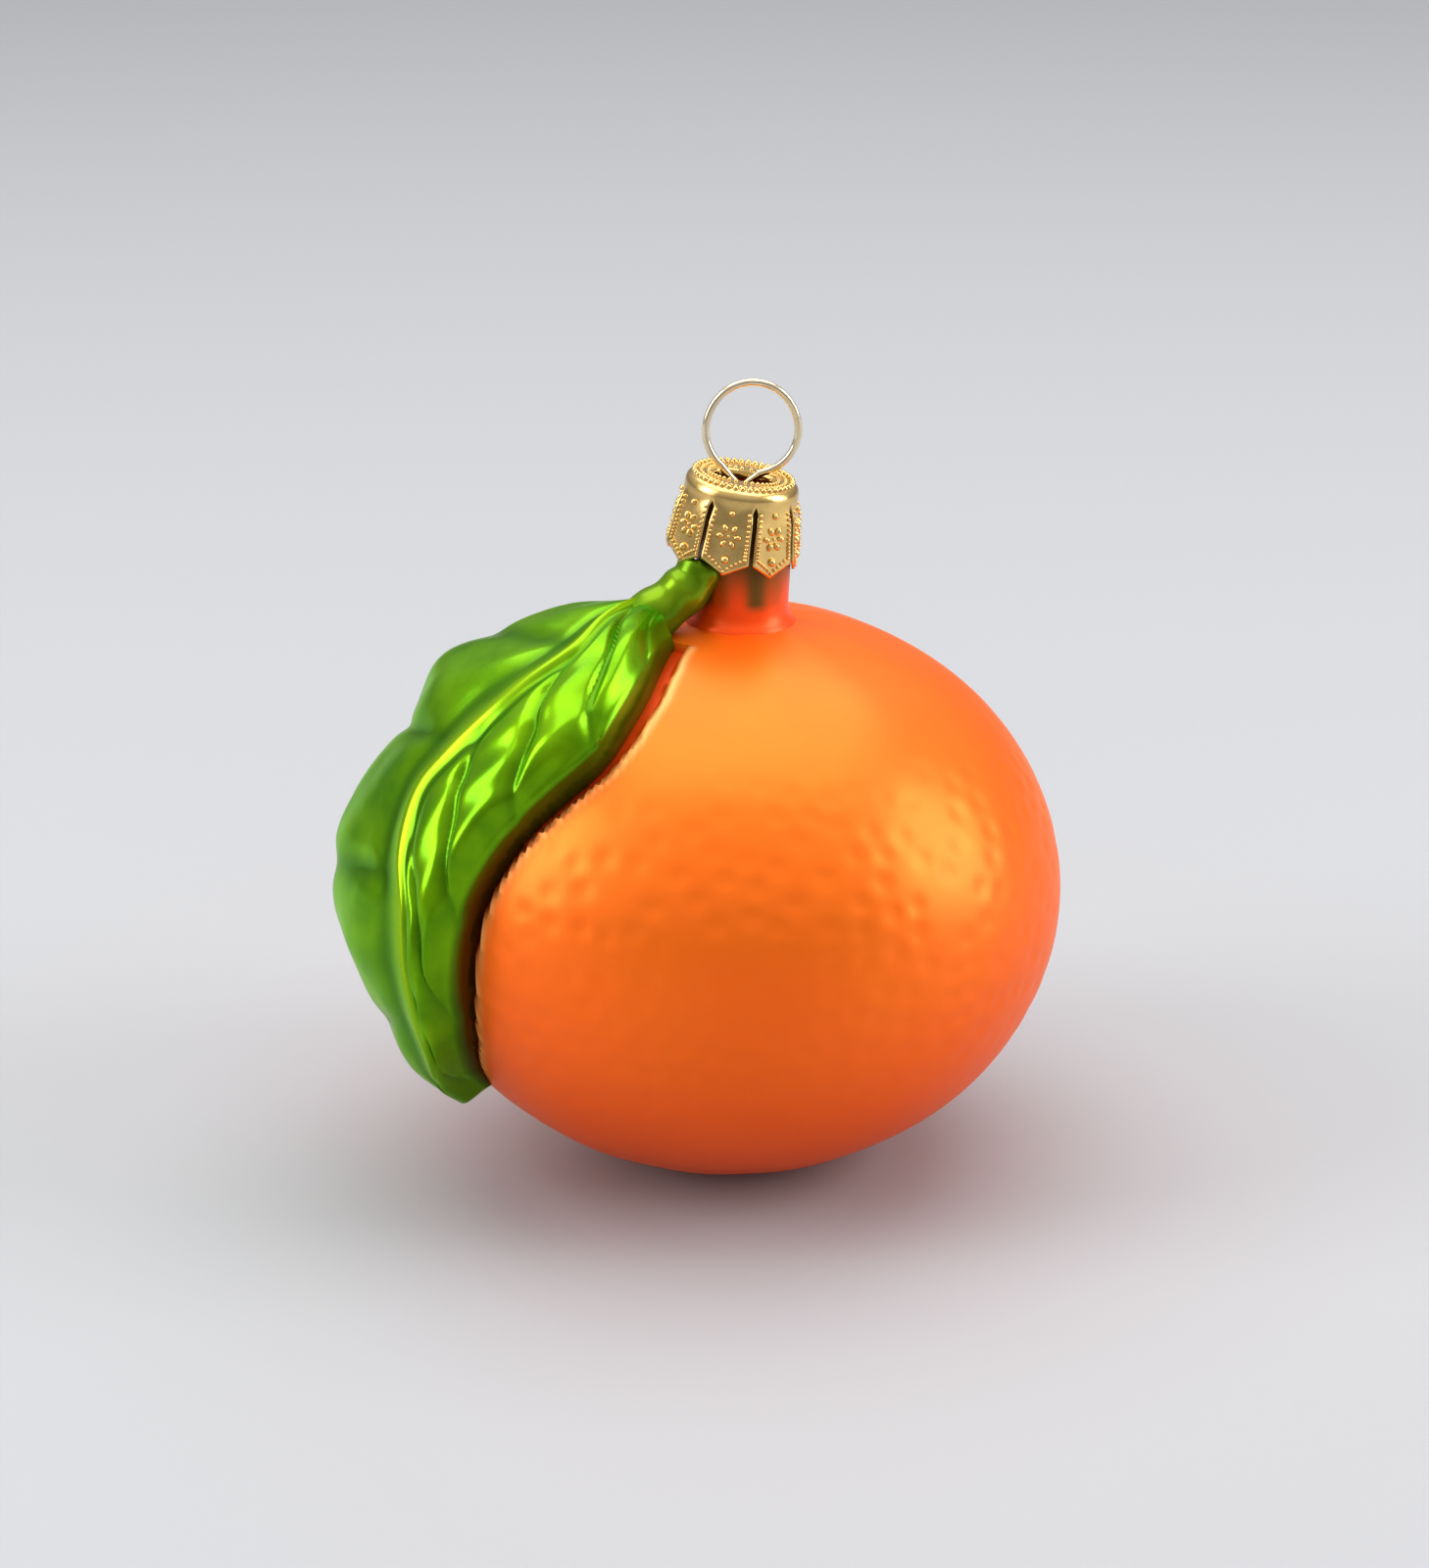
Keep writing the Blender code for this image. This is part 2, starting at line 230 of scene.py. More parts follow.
def lacquer_group():
    """Brushed-on lacquer: a cloudy colour shift, fine specks and a slightly uneven surface."""
    name = "brushed_lacquer"
    if name in bpy.data.node_groups:
        return bpy.data.node_groups[name]
    group, start, end = new_group(
        name,
        [("Colour", "NodeSocketColor", (1, 1, 1, 1)), ("Pooled", "NodeSocketColor", (0, 0, 0, 1)),
         ("Cloud Size", "NodeSocketFloat", 90.0), ("Cloud Amount", "NodeSocketFloat", 0.3),
         ("Roughness", "NodeSocketFloat", 0.3)],
        [("Colour", "NodeSocketColor"), ("Roughness", "NodeSocketFloat"), ("Height", "NodeSocketFloat")],
    )
    nodes, links = group.nodes, group.links
    place = nodes.new("ShaderNodeTexCoord")
    cloud = nodes.new("ShaderNodeTexNoise")
    cloud.inputs["Detail"].default_value = 4.0
    links.new(place.outputs["Object"], cloud.inputs["Vector"])
    links.new(start.outputs["Cloud Size"], cloud.inputs["Scale"])
    spread = nodes.new("ShaderNodeMapRange")
    spread.inputs["From Min"].default_value = 0.35
    spread.inputs["From Max"].default_value = 0.75
    links.new(cloud.outputs["Fac"], spread.inputs["Value"])
    amount = nodes.new("ShaderNodeMath")
    amount.operation = "MULTIPLY"
    links.new(spread.outputs["Result"], amount.inputs[0])
    links.new(start.outputs["Cloud Amount"], amount.inputs[1])
    mix = nodes.new("ShaderNodeMix")
    mix.data_type = "RGBA"
    links.new(amount.outputs[0], mix.inputs[0])
    links.new(start.outputs["Colour"], mix.inputs[6])
    links.new(start.outputs["Pooled"], mix.inputs[7])
    links.new(mix.outputs[2], end.inputs["Colour"])
    rough = nodes.new("ShaderNodeMath")
    rough.operation = "MULTIPLY_ADD"
    links.new(cloud.outputs["Fac"], rough.inputs[0])
    rough.inputs[1].default_value = 0.12
    links.new(start.outputs["Roughness"], rough.inputs[2])
    links.new(rough.outputs[0], end.inputs["Roughness"])
    fine = nodes.new("ShaderNodeTexNoise")
    fine.inputs["Scale"].default_value = 1400.0
    fine.inputs["Detail"].default_value = 3.0
    links.new(place.outputs["Object"], fine.inputs["Vector"])
    links.new(fine.outputs["Fac"], end.inputs["Height"])
    return group


def lacquer_material(
        name, colour, pooled, roughness, metallic, coat, coat_roughness, cloud, amount, bump,
        sheen_tint=(1.0, 1.0, 1.0)):
    """Lacquer over silvered glass. Returns the material and its shader."""
    material = bpy.data.materials.new(name)
    material.use_nodes = True
    nodes, links = material.node_tree.nodes, material.node_tree.links
    shader = nodes["Principled BSDF"]
    shader.inputs["Metallic"].default_value = metallic
    shader.inputs["Coat Weight"].default_value = coat
    shader.inputs["Coat Roughness"].default_value = coat_roughness
    shader.inputs["Specular Tint"].default_value = (*sheen_tint, 1.0)
    lacquer = nodes.new("ShaderNodeGroup")
    lacquer.node_tree = lacquer_group()
    lacquer.inputs["Colour"].default_value = (*colour, 1.0)
    lacquer.inputs["Pooled"].default_value = (*pooled, 1.0)
    lacquer.inputs["Cloud Size"].default_value = cloud
    lacquer.inputs["Cloud Amount"].default_value = amount
    lacquer.inputs["Roughness"].default_value = roughness
    links.new(lacquer.outputs["Colour"], shader.inputs["Base Color"])
    links.new(lacquer.outputs["Roughness"], shader.inputs["Roughness"])
    relief = nodes.new("ShaderNodeBump")
    relief.inputs["Strength"].default_value = bump
    relief.inputs["Distance"].default_value = 0.05 * MM
    links.new(lacquer.outputs["Height"], relief.inputs["Height"])
    links.new(relief.outputs["Normal"], shader.inputs["Normal"])
    return material, shader


def mask_colour(material, shader, attribute, colour):
    """Paint a colour over what feeds Base Color, where the piece's attribute says."""
    nodes, links = material.node_tree.nodes, material.node_tree.links
    source = shader.inputs["Base Color"].links[0].from_socket
    mask = nodes.new("ShaderNodeAttribute")
    mask.attribute_name = attribute
    mix = nodes.new("ShaderNodeMix")
    mix.data_type = "RGBA"
    links.new(mask.outputs["Fac"], mix.inputs[0])
    links.new(source, mix.inputs[6])
    mix.inputs[7].default_value = (*colour, 1.0)
    links.new(mix.outputs[2], shader.inputs["Base Color"])


def store_attribute(mesh, name, values):
    layer = mesh.attributes.new(name, "FLOAT", "POINT")
    layer.data.foreach_set("value", values)


# Fruit, with its relief in mm

GROOVE_DEPTH = 0.75
LIP_HEIGHT = 0.12
LUMP_HEIGHT = 0.035


def pit_tree():
    """Scatter small pits over a band of the fruit and press them into its surface."""
    tree = bpy.data.node_groups.new("peel_pits", "GeometryNodeTree")
    for label, kind in (
        ("Geometry", "NodeSocketGeometry"), ("Pit Spacing", "NodeSocketFloat"),
        ("Pit Radius", "NodeSocketFloat"), ("Pit Depth", "NodeSocketFloat"),
        ("Seed", "NodeSocketInt"), ("Material", "NodeSocketMaterial"),
    ):
        tree.interface.new_socket(name=label, in_out="INPUT", socket_type=kind)
    tree.interface.new_socket(name="Geometry", in_out="OUTPUT", socket_type="NodeSocketGeometry")
    nodes, links = tree.nodes, tree.links
    start, end = nodes.new("NodeGroupInput"), nodes.new("NodeGroupOutput")
    scatter = nodes.new("GeometryNodeDistributePointsOnFaces")
    scatter.distribute_method = "POISSON"
    scatter.inputs["Density Max"].default_value = 300000.0
    links.new(start.outputs["Geometry"], scatter.inputs["Mesh"])
    links.new(start.outputs["Pit Spacing"], scatter.inputs["Distance Min"])
    links.new(start.outputs["Seed"], scatter.inputs["Seed"])
    near = nodes.new("GeometryNodeProximity")
    near.target_element = "POINTS"
    links.new(scatter.outputs["Points"], near.inputs[0])
    fall = nodes.new("ShaderNodeMapRange")
    fall.interpolation_type = "SMOOTHSTEP"
    links.new(near.outputs["Distance"], fall.inputs["Value"])
    links.new(start.outputs["Pit Radius"], fall.inputs["From Max"])
    fall.inputs["To Min"].default_value = -1.0
    fall.inputs["To Max"].default_value = 0.0
    band = nodes.new("GeometryNodeInputNamedAttribute")
    band.data_type = "FLOAT"
    band.inputs["Name"].default_value = "pitted"
    depth = nodes.new("ShaderNodeMath")
    depth.operation = "MULTIPLY"
    links.new(fall.outputs["Result"], depth.inputs[0])
    links.new(start.outputs["Pit Depth"], depth.inputs[1])
    masked = nodes.new("ShaderNodeMath")
    masked.operation = "MULTIPLY"
    links.new(depth.outputs[0], masked.inputs[0])
    links.new(band.outputs[0], masked.inputs[1])
    normal = nodes.new("GeometryNodeInputNormal")
    push = nodes.new("ShaderNodeVectorMath")
    push.operation = "SCALE"
    links.new(normal.outputs[0], push.inputs[0])
    links.new(masked.outputs[0], push.inputs["Scale"])
    move = nodes.new("GeometryNodeSetPosition")
    links.new(start.outputs["Geometry"], move.inputs["Geometry"])
    links.new(push.outputs[0], move.inputs["Offset"])
    realize = nodes.new("GeometryNodeRealizeInstances")
    links.new(move.outputs[0], realize.inputs[0])
    paint = nodes.new("GeometryNodeSetMaterial")
    links.new(realize.outputs[0], paint.inputs["Geometry"])
    links.new(start.outputs["Material"], paint.inputs["Material"])
    links.new(paint.outputs[0], end.inputs[0])
    return tree


def apply_tree(item, tree, values):
    """Run a geometry tree on an object and keep its result as a plain mesh."""
    change = item.modifiers.new(tree.name, "NODES")
    change.node_group = tree
    for socket in tree.interface.items_tree:
        if socket.item_type == "SOCKET" and socket.in_out == "INPUT" and socket.name in values:
            change[socket.identifier] = values[socket.name]
    bpy.context.view_layer.update()
    evaluated = item.evaluated_get(bpy.context.evaluated_depsgraph_get())
    mesh = bpy.data.meshes.new_from_object(evaluated)
    item.modifiers.clear()
    item.data = mesh
    return item


def groove_mask(latitude, azimuth, radius):
    """Masks of the groove's floor, its rounded lip and the skin clear of both, beside the leaf."""
    border = border_azimuth(latitude)
    if border is None:
        return 0.0, 0.0, 1.0
    gap = math.radians(azimuth - border) * radius * math.cos(math.radians(latitude)) / MM
    width = 0.5 + 1.3 * smoothstep(10.0, 70.0, latitude)
    if gap < -3.0:
        return 0.0, 0.0, 1.0
    floor = 1.0 - smoothstep(width * 0.7, width, gap)
    # The lip's mask also sets where a paler painted highlight line goes.
    lip = math.exp(-((gap - width - 0.45) / 0.4) ** 2)
    ends = smoothstep(LEAF_ROWS[-1][0], LEAF_ROWS[-1][0] + 8.0, latitude)
    return floor * ends, lip * ends, smoothstep(width + 0.6, width + 4.0, gap)


def fruit_mesh(fruit):
    """A fine ball with a flat underside; a shallow groove follows the leaf's right border."""
    rows, columns = 150, 300
    centre = fruit.half_height - fruit.flat_depth
    last = math.asin(-centre / fruit.half_height)
    form = bmesh.new()
    top = form.verts.new((0.0, 0.0, centre + fruit.half_height))
    groove, lip, pitted, underside = [0.0], [0.0], [0.0], [0.0]
    rings = []
    for i in range(1, rows + 1):
        latitude = math.pi / 2 + (last - math.pi / 2) * i / rows
        ring = []
        for j in range(columns):
            azimuth = 2 * math.pi * j / columns
            degrees = math.degrees(azimuth)
            degrees = degrees - 360 if degrees > 180 else degrees
            floor, edge, clear = groove_mask(math.degrees(latitude), degrees, fruit.radius)
            lumps = math.sin(7 * azimuth + 1.0) * math.sin(6 * latitude)
            lumps += math.sin(11 * azimuth - 5 * latitude)
            height = 0.0
            if i < rows:
                height = (-GROOVE_DEPTH * floor + LIP_HEIGHT * edge + LUMP_HEIGHT * (lumps - 2) * clear) * MM
            point = over_fruit(fruit, azimuth, latitude, height)
            ring.append(form.verts.new(point))
            groove.append(floor)
            lip.append(edge)
            high = math.degrees(latitude)
            band = smoothstep(-38.0, -8.0, high) * (1.0 - smoothstep(22.0, 52.0, high))
            pitted.append(band * clear)
            # Mask of the painted shade: full at the bottom, gone by 25 degrees of latitude.
            underside.append(1.0 - smoothstep(-50.0, 25.0, high))
        rings.append(ring)
    for j in range(columns):
        form.faces.new((top, rings[0][j], rings[0][(j + 1) % columns]))
    for upper, lower in zip(rings, rings[1:]):
        for j in range(columns):
            k = (j + 1) % columns
            form.faces.new((upper[j], lower[j], lower[k], upper[k]))
    base = form.verts.new((0.0, 0.0, 0.0))
    for values in (groove, lip, pitted, underside):
        values.append(0.0)
    for j in range(columns):
        form.faces.new((base, rings[-1][(j + 1) % columns], rings[-1][j]))
    bmesh.ops.recalc_face_normals(form, faces=form.faces)
    mesh = mesh_from("fruit_skin", form, 40)
    store_attribute(mesh, "groove", groove)
    store_attribute(mesh, "lip", lip)
    store_attribute(mesh, "pitted", pitted)
    store_attribute(mesh, "underside", underside)
    return mesh


class OBJECT_OT_build_fruit(bpy.types.Operator):
    """Build the satin orange fruit with its peel pits"""
    bl_idname = "ornament.build_fruit"
    bl_label = "Build Fruit"

    def execute(self, context):
        fruit = context.scene.ornament_fruit
        material, shader = lacquer_material(
            "satin_orange_lacquer", fruit.orange, (0.98, 0.115, 0.003),
            roughness=0.31, metallic=0.42, coat=0.04, coat_roughness=0.40,
            cloud=60.0, amount=0.5, bump=0.12, sheen_tint=(1.0, 0.62, 0.46))
        # Painted shade: a deeper, darker orange over the lower fruit.
        mask_colour(material, shader, "underside", fruit.low_shade_orange)
        mask_colour(material, shader, "groove", fruit.deep_orange)
        # Painted highlight: a paler orange line along the groove's rounded lip, where its edge catches the
        # light.
        mask_colour(material, shader, "lip", (0.98, 0.42, 0.12))
        item = link_object("fruit_skin", fruit_mesh(fruit))
        apply_tree(item, pit_tree(), {
            "Pit Spacing": fruit.pit_spacing, "Pit Radius": fruit.pit_radius,
            "Pit Depth": fruit.pit_depth, "Seed": fruit.seed, "Material": material,
        })
        item.name = "fruit_skin"
        place_piece(item, "glass_body")
        return {"FINISHED"}


# Neck, as radius and height in mm from its foot

NECK_PROFILE = [
    (3.5, 4.0), (3.5, 14.2), (3.7, 14.6), (4.2, 14.6), (4.4, 14.2), (4.4, 9.0), (4.4, 5.2),
    (4.42, 4.2), (4.55, 3.5), (4.85, 3.0), (5.2, 2.7), (5.3, 2.2), (5.3, 1.0), (0.0, 1.0), (0.0, 4.0),
]
NECK_FOOT = (0.8 * MM, 0.0, 50.0 * MM)
NECK_LEAN = math.radians(3.0)
DARK_BAND = (54.6, 55.8)  # heights over the floor where the dark paint starts and is full


class OBJECT_OT_build_neck(bpy.types.Operator):
    """Build the glass neck that the cap slips over"""
    bl_idname = "ornament.build_neck"
    bl_label = "Build Neck"

    def execute(self, context):
        steps = 96
        form = bmesh.new()
        verts = [form.verts.new((radius * MM, 0.0, z * MM)) for radius, z in NECK_PROFILE]
        edges = [form.edges.new((a, b)) for a, b in zip(verts, verts[1:] + verts[:1])]
        bmesh.ops.spin(
            form, geom=verts + edges, cent=(0, 0, 0), axis=(0, 0, 1), angle=2 * math.pi, steps=steps,
            use_merge=True)
        bmesh.ops.remove_doubles(form, verts=form.verts, dist=0.000002)
        loose = [edge for edge in form.edges if not edge.link_faces]
        bmesh.ops.delete(form, geom=loose, context="EDGES")
        bmesh.ops.recalc_face_normals(form, faces=form.faces)
        bend = Matrix.Translation(NECK_FOOT) @ Matrix.Rotation(NECK_LEAN, 4, "Y")
        form.transform(bend)
        mesh = mesh_from("glass_neck", form, 50)
        material, shader = lacquer_material(
            "neck_lacquer", (1.0, 0.080, 0.002), (0.92, 0.055, 0.001),
            roughness=0.33, metallic=0.20, coat=0.10, coat_roughness=0.20,
            cloud=320.0, amount=0.7, bump=0.15, sheen_tint=(1.0, 0.60, 0.30))
        values = []
        for vert in mesh.vertices:
            azimuth = math.atan2(vert.co.y, vert.co.x)
            ragged = 0.9 * math.sin(5 * azimuth) + 0.5 * math.sin(11 * azimuth + 1.0)
            values.append(smoothstep(*DARK_BAND, vert.co.z / MM + 0.5 * ragged))
        store_attribute(mesh, "dark_band", values)
        mask_colour(material, shader, "dark_band", (0.105, 0.060, 0.004))
        mesh.materials.append(material)
        place_piece(link_object("glass_neck", mesh), "glass_body")
        return {"FINISHED"}


# Leaf and stalk, in mm

EDGE_ROLL = 1.5
WALL_FOOT = -1.2
WALL_BULGE = 0.5  # degrees


def leaf_relief(place, side):
    """Height in mm of the leaf's puffed lobes, grooves and midrib, with its vein and rib masks."""
    across = abs(side)
    if side > 0:
        phase = (place - 0.32 * across ** 1.1) * 6.0 + 0.2
        depth = 0.60
    else:
        phase = (place - 0.09 * across ** 1.2) * 4.6 + 0.35
        depth = 0.40
    wave = abs(math.sin(math.pi * phase))
    reach = smoothstep(0.05, 0.35, across) * (1.0 - 0.55 * smoothstep(0.75, 1.0, across))
    ends = smoothstep(0.0, 0.10, place) * (1.0 - smoothstep(0.90, 1.0, place))
    groove = math.exp(-(wave / 0.32) ** 2)
    ripple = math.sin(23.0 * place + 5.0 * side) * math.sin(11.0 * side + 9.0 * place)
    relief = reach * ends * (0.30 * wave - depth * groove + 0.16 * ripple)
    rib = math.exp(-(across / 0.055) ** 2)
    trough = math.exp(-((across - 0.14) / 0.06) ** 2)
    relief += (0.55 * rib - 0.30 * trough) * (1.0 - 0.5 * place)
    vein = 0.8 * math.exp(-(wave / 0.24) ** 2) * reach * ends
    return relief, min(1.0, vein + 0.8 * trough), rib


def edge_round(side, height):
    """Height in mm of the leaf's top, rolled over towards its edges."""
    return height - EDGE_ROLL * smoothstep(0.74, 1.0, abs(side)) ** 2


def leaf_mesh(fruit):
    """The leaf's puffed top and its two walls, down to just under the fruit's skin."""
    stations, half, wall_rows = 210, 34, 7
    form = bmesh.new()
    rings, vein, painted_rib_highlight, wall = [], [], [], []
    for i in range(stations + 1):
        place = i / stations
        latitude, left, rib, right, left_h, rib_h, right_h = leaf_row(place)
        lat = math.radians(latitude)
        ring = []

        def add(azimuth, height, vein_value, rib_highlight_value, wall_value):
            ring.append(form.verts.new(over_fruit(fruit, math.radians(azimuth), lat, height * MM)))
            vein.append(vein_value)
            painted_rib_highlight.append(rib_highlight_value)
            wall.append(wall_value)

        tops = []
        for j in range(-half, half + 1):
            side = j / half
            across = abs(side)
            outer, outer_h = (left, left_h) if side < 0 else (right, right_h)
            azimuth = rib + (outer - rib) * across
            height = rib_h + (outer_h - rib_h) * across + 0.6 * math.sin(math.pi * across)
            relief, vein_value, rib_highlight_value = leaf_relief(place, side)
            height = edge_round(side, height + relief)
            tops.append(height)
            add(azimuth, height, vein_value, rib_highlight_value, 0.0)
        for k in range(1, wall_rows + 1):
            drop = k / wall_rows
            stain = smoothstep(0.0, 0.45, drop) * (0.45 + 0.55 * smoothstep(0.25, 0.6, place))
            azimuth = right + WALL_BULGE * math.sin(math.pi * drop)
            add(azimuth, tops[-1] + (WALL_FOOT - tops[-1]) * drop, 0.6, 0.0, stain)
        for k in range(wall_rows, 0, -1):
            drop = k / wall_rows
            stain = smoothstep(0.0, 0.6, drop)
            azimuth = left - WALL_BULGE * math.sin(math.pi * drop)
            add(azimuth, tops[0] + (WALL_FOOT - tops[0]) * drop, 0.6, 0.0, stain)
        rings.append(ring)
    count = len(rings[0])
    for ring, following in zip(rings, rings[1:]):
        for j in range(count):
            k = (j + 1) % count
            form.faces.new((ring[j], ring[k], following[k], following[j]))
    for ring in (rings[0], rings[-1]):
        form.faces.new(ring)
    bmesh.ops.recalc_face_normals(form, faces=form.faces)
    mesh = mesh_from("leaf_blade", form, 70)
    store_attribute(mesh, "vein", vein)
    # Mask of the painted highlight along the raised midrib.
    store_attribute(mesh, "rib", painted_rib_highlight)
    store_attribute(mesh, "wall", wall)
    return mesh


def tube_mesh(name, points, radii, sides):
    """A round tube along points, with a radius at each and flat closed ends."""
    form = bmesh.new()
    points = [Vector(point) for point in points]
    rings = []
    across = Vector((0.0, 1.0, 0.0))
    for i, point in enumerate(points):
        ahead = (points[min(i + 1, len(points) - 1)] - points[max(i - 1, 0)]).normalized()
        across = (across - ahead * across.dot(ahead)).normalized()
        up = ahead.cross(across)
        rings.append([
            form.verts.new(point + (across * math.cos(a) + up * math.sin(a)) * radii[i])
            for a in (2 * math.pi * k / sides for k in range(sides))
        ])
    for ring, following in zip(rings, rings[1:]):
        for k in range(sides):
            j = (k + 1) % sides
            form.faces.new((ring[k], ring[j], following[j], following[k]))
    form.faces.new(rings[0])
    form.faces.new(rings[-1])
    bmesh.ops.recalc_face_normals(form, faces=form.faces)
    return mesh_from(name, form, 60)


def smooth_route(points, steps):
    """Extra points between the given ones, on a Catmull-Rom curve."""
    points = [Vector(point) for point in points]
    route = []
    for i in range(len(points) - 1):
        before, after = points[max(i - 1, 0)], points[min(i + 2, len(points) - 1)]
        for k in range(steps):
            route.append(catmull(before, points[i], points[i + 1], after, k / steps))
    route.append(points[-1])
    return route


class OBJECT_OT_build_leaf(bpy.types.Operator):
    """Build the moulded leaf and its stalk"""
    bl_idname = "ornament.build_leaf"
    bl_label = "Build Leaf"

    def execute(self, context):
        fruit, leaf = context.scene.ornament_fruit, context.scene.ornament_leaf
        material, shader = lacquer_material(
            "green_leaf_lacquer", leaf.green, (0.045, 0.19, 0.001),
            roughness=0.19, metallic=0.70, coat=0.06, coat_roughness=0.06,
            cloud=170.0, amount=0.9, bump=0.1, sheen_tint=(0.55, 1.0, 0.12))
        mask_colour(material, shader, "vein", leaf.dark_green)
        # Painted highlight: a lighter yellow-green painted along the raised midrib, as if it caught the
        # light.
        mask_colour(material, shader, "rib", (0.27, 0.48, 0.006))
        mask_colour(material, shader, "wall", leaf.brown)
        blade = leaf_mesh(fruit)
        blade.materials.append(material)
        place_piece(link_object("leaf_blade", blade), "glass_body")

        route = smooth_route([Vector(point) * MM for point in STALK_ROUTE], 10)
        last = len(route) - 1
        radii = [
            leaf.stalk_radius * (1.06 + 0.05 * math.sin(i * 0.55) + 0.22 * i / last)
            for i in range(last + 1)
        ]
        stalk = tube_mesh("leaf_stalk", route, radii, 40)
        stalk_material = lacquer_material(
            "green_stalk_lacquer", leaf.stalk_green, leaf.dark_green,
            roughness=0.24, metallic=0.60, coat=0.06, coat_roughness=0.06,
            cloud=260.0, amount=0.95, bump=0.1, sheen_tint=(0.55, 1.0, 0.12))[0]
        stalk.materials.append(stalk_material)
        place_piece(link_object("leaf_stalk", stalk), "glass_body")
        return {"FINISHED"}


# Cap

CAP_TABS = 8
SECTOR = math.pi / CAP_TABS
SHOULDER_START = 4.3
SHOULDER_ROUND = 1.0
CAP_DROP = 8.0
SKIRT_TOP = SHOULDER_START + SHOULDER_ROUND
SKIRT_BOTTOM = 6.0
SLIT_HALF = 0.28
TAB_POINT = 1.3
TAB_BEAD = (0.195, 0.195, 0.24)
RIGHT = Vector((1, 0, 0))
SLOT_LIP = [(0.0, -1.1), (0.02, -0.2), (0.12, -0.03)]


def slot_outline(angle, grow):
    cosine, sine = math.cos(angle), math.sin(angle)
    return Vector((
        (2.7 + grow) * math.copysign(abs(cosine) ** 0.8, cosine),
        (1.6 + grow) * math.copysign(abs(sine) ** 0.8, sine),
        0.0,
    ))


def tab_point(tab, across, down):
    """A point in mm on a tab: across from -1 to 1, down from 0 (shoulder) to 1 (its tip)."""
    middle = -math.pi / 2 + 2 * SECTOR * tab
    slit = SLIT_HALF * smoothstep(0.06, 0.12, down)
    apothem = SKIRT_TOP + (SKIRT_BOTTOM - SKIRT_TOP) * down
    half_width = apothem * math.tan(SECTOR) - slit
    flat = Vector((apothem, across * half_width, 0.0))
    angle = across * (SECTOR - slit / SKIRT_TOP)
    curved = Vector((SKIRT_TOP * math.cos(angle), SKIRT_TOP * math.sin(angle), 0.0))
    point = curved.lerp(flat, smoothstep(0.0, 0.35, down))
    length = CAP_DROP - SHOULDER_ROUND - TAB_POINT * abs(across) * smoothstep(0.3, 1.0, down)
    point.z = -SHOULDER_ROUND - length * down
    point.rotate(Euler((0.0, 0.0, middle)))
    return point


def cap_sheet():
    """The cap's outer surface, one sector at a time, from the slot's lip to the tabs' tips."""
    columns, rows = 16, 22
    form = bmesh.new()
    for tab in range(CAP_TABS):
        middle = -math.pi / 2 + 2 * SECTOR * tab
        grid = []
        for j in range(columns + 1):
            across = -1 + 2 * j / columns
            angle = middle + across * SECTOR
            line = [slot_outline(angle, grow) + Vector((0, 0, height)) for grow, height in SLOT_LIP]
            inner = slot_outline(angle, 0.3)
            rim = Vector((SHOULDER_START * math.cos(angle), SHOULDER_START * math.sin(angle), 0.0))
            line += [inner.lerp(rim, t / 4) for t in range(5)]
            for k in range(1, 7):
                bend = math.pi / 2 * k / 6
                radius = SHOULDER_START + SHOULDER_ROUND * math.sin(bend)
                height = SHOULDER_ROUND * (math.cos(bend) - 1)
                line.append(Vector((radius * math.cos(angle), radius * math.sin(angle), height)))
            line += [tab_point(tab, across, k / rows) for k in range(1, rows + 1)]
            grid.append([form.verts.new(point * MM) for point in line])
        for left, right in zip(grid, grid[1:]):
            for k in range(len(left) - 1):
                form.faces.new((left[k], left[k + 1], right[k + 1], right[k]))
    bmesh.ops.remove_doubles(form, verts=form.verts, dist=0.000003)
    bmesh.ops.recalc_face_normals(form, faces=form.faces)
    return form


def on_tab(tab, across, down):
    """A place on a tab, with its outward and lengthwise directions."""
    spot = tab_point(tab, across, down)
    sideways = tab_point(tab, across + 0.02, down) - spot
    along = tab_point(tab, across, min(down + 0.02, 1.0)) - tab_point(tab, across, down - 0.02)
    outward = along.cross(sideways).normalized()
    if outward.dot(Vector((spot.x, spot.y, 0))) < 0:
        outward.negate()
    return spot, outward, along.normalized()


def bead_places():
    """Every stamped bead, dot and petal as (place, outward direction, lengthwise direction, size)."""
    places = []
    up = Vector((0, 0, 1))
    for count, radius, size in ((43, 4.55, 0.30), (54, 3.92, 0.21)):
        for i in range(count):
            angle = 2 * math.pi * i / count
            tilt = smoothstep(SHOULDER_START, SKIRT_TOP, radius)
            spot = Vector((radius * math.cos(angle), radius * math.sin(angle), -0.03 * tilt))
            places.append((spot, up, RIGHT, (size, size, size * 1.05)))
    for i in range(38):
        places.append((slot_outline(2 * math.pi * i / 38, 0.55), up, RIGHT, (0.20, 0.20, 0.22)))
    for tab in range(CAP_TABS):
        for side in (-0.84, 0.84):
            for i in range(11):
                places.append((*on_tab(tab, side, 0.16 + 0.70 * i / 10), TAB_BEAD))
        for i in range(1, 5):
            for side in (-1, 1):
                places.append((*on_tab(tab, side * 0.84 * (1 - i / 5), 0.86 + 0.07 * i / 5), TAB_BEAD))
        places.append((*on_tab(tab, 0.0, 0.94), TAB_BEAD))
        places.append((*on_tab(tab, 0.0, 0.17), (0.32, 0.32, 0.36)))
        places.append((*on_tab(tab, 0.0, 0.78), (0.44, 0.44, 0.46)))
        spot, outward, along = on_tab(tab, 0.0, 0.47)
        sideways = outward.cross(along).normalized()
        for i in range(6):
            angle = math.pi / 6 + math.pi / 3 * i
            ray = along * math.cos(angle) + sideways * math.sin(angle)
            places.append((spot + ray * 0.82, outward, ray, (0.44, 0.29, 0.36)))
        places.append((spot, outward, along, (0.2, 0.2, 0.18)))
    return places


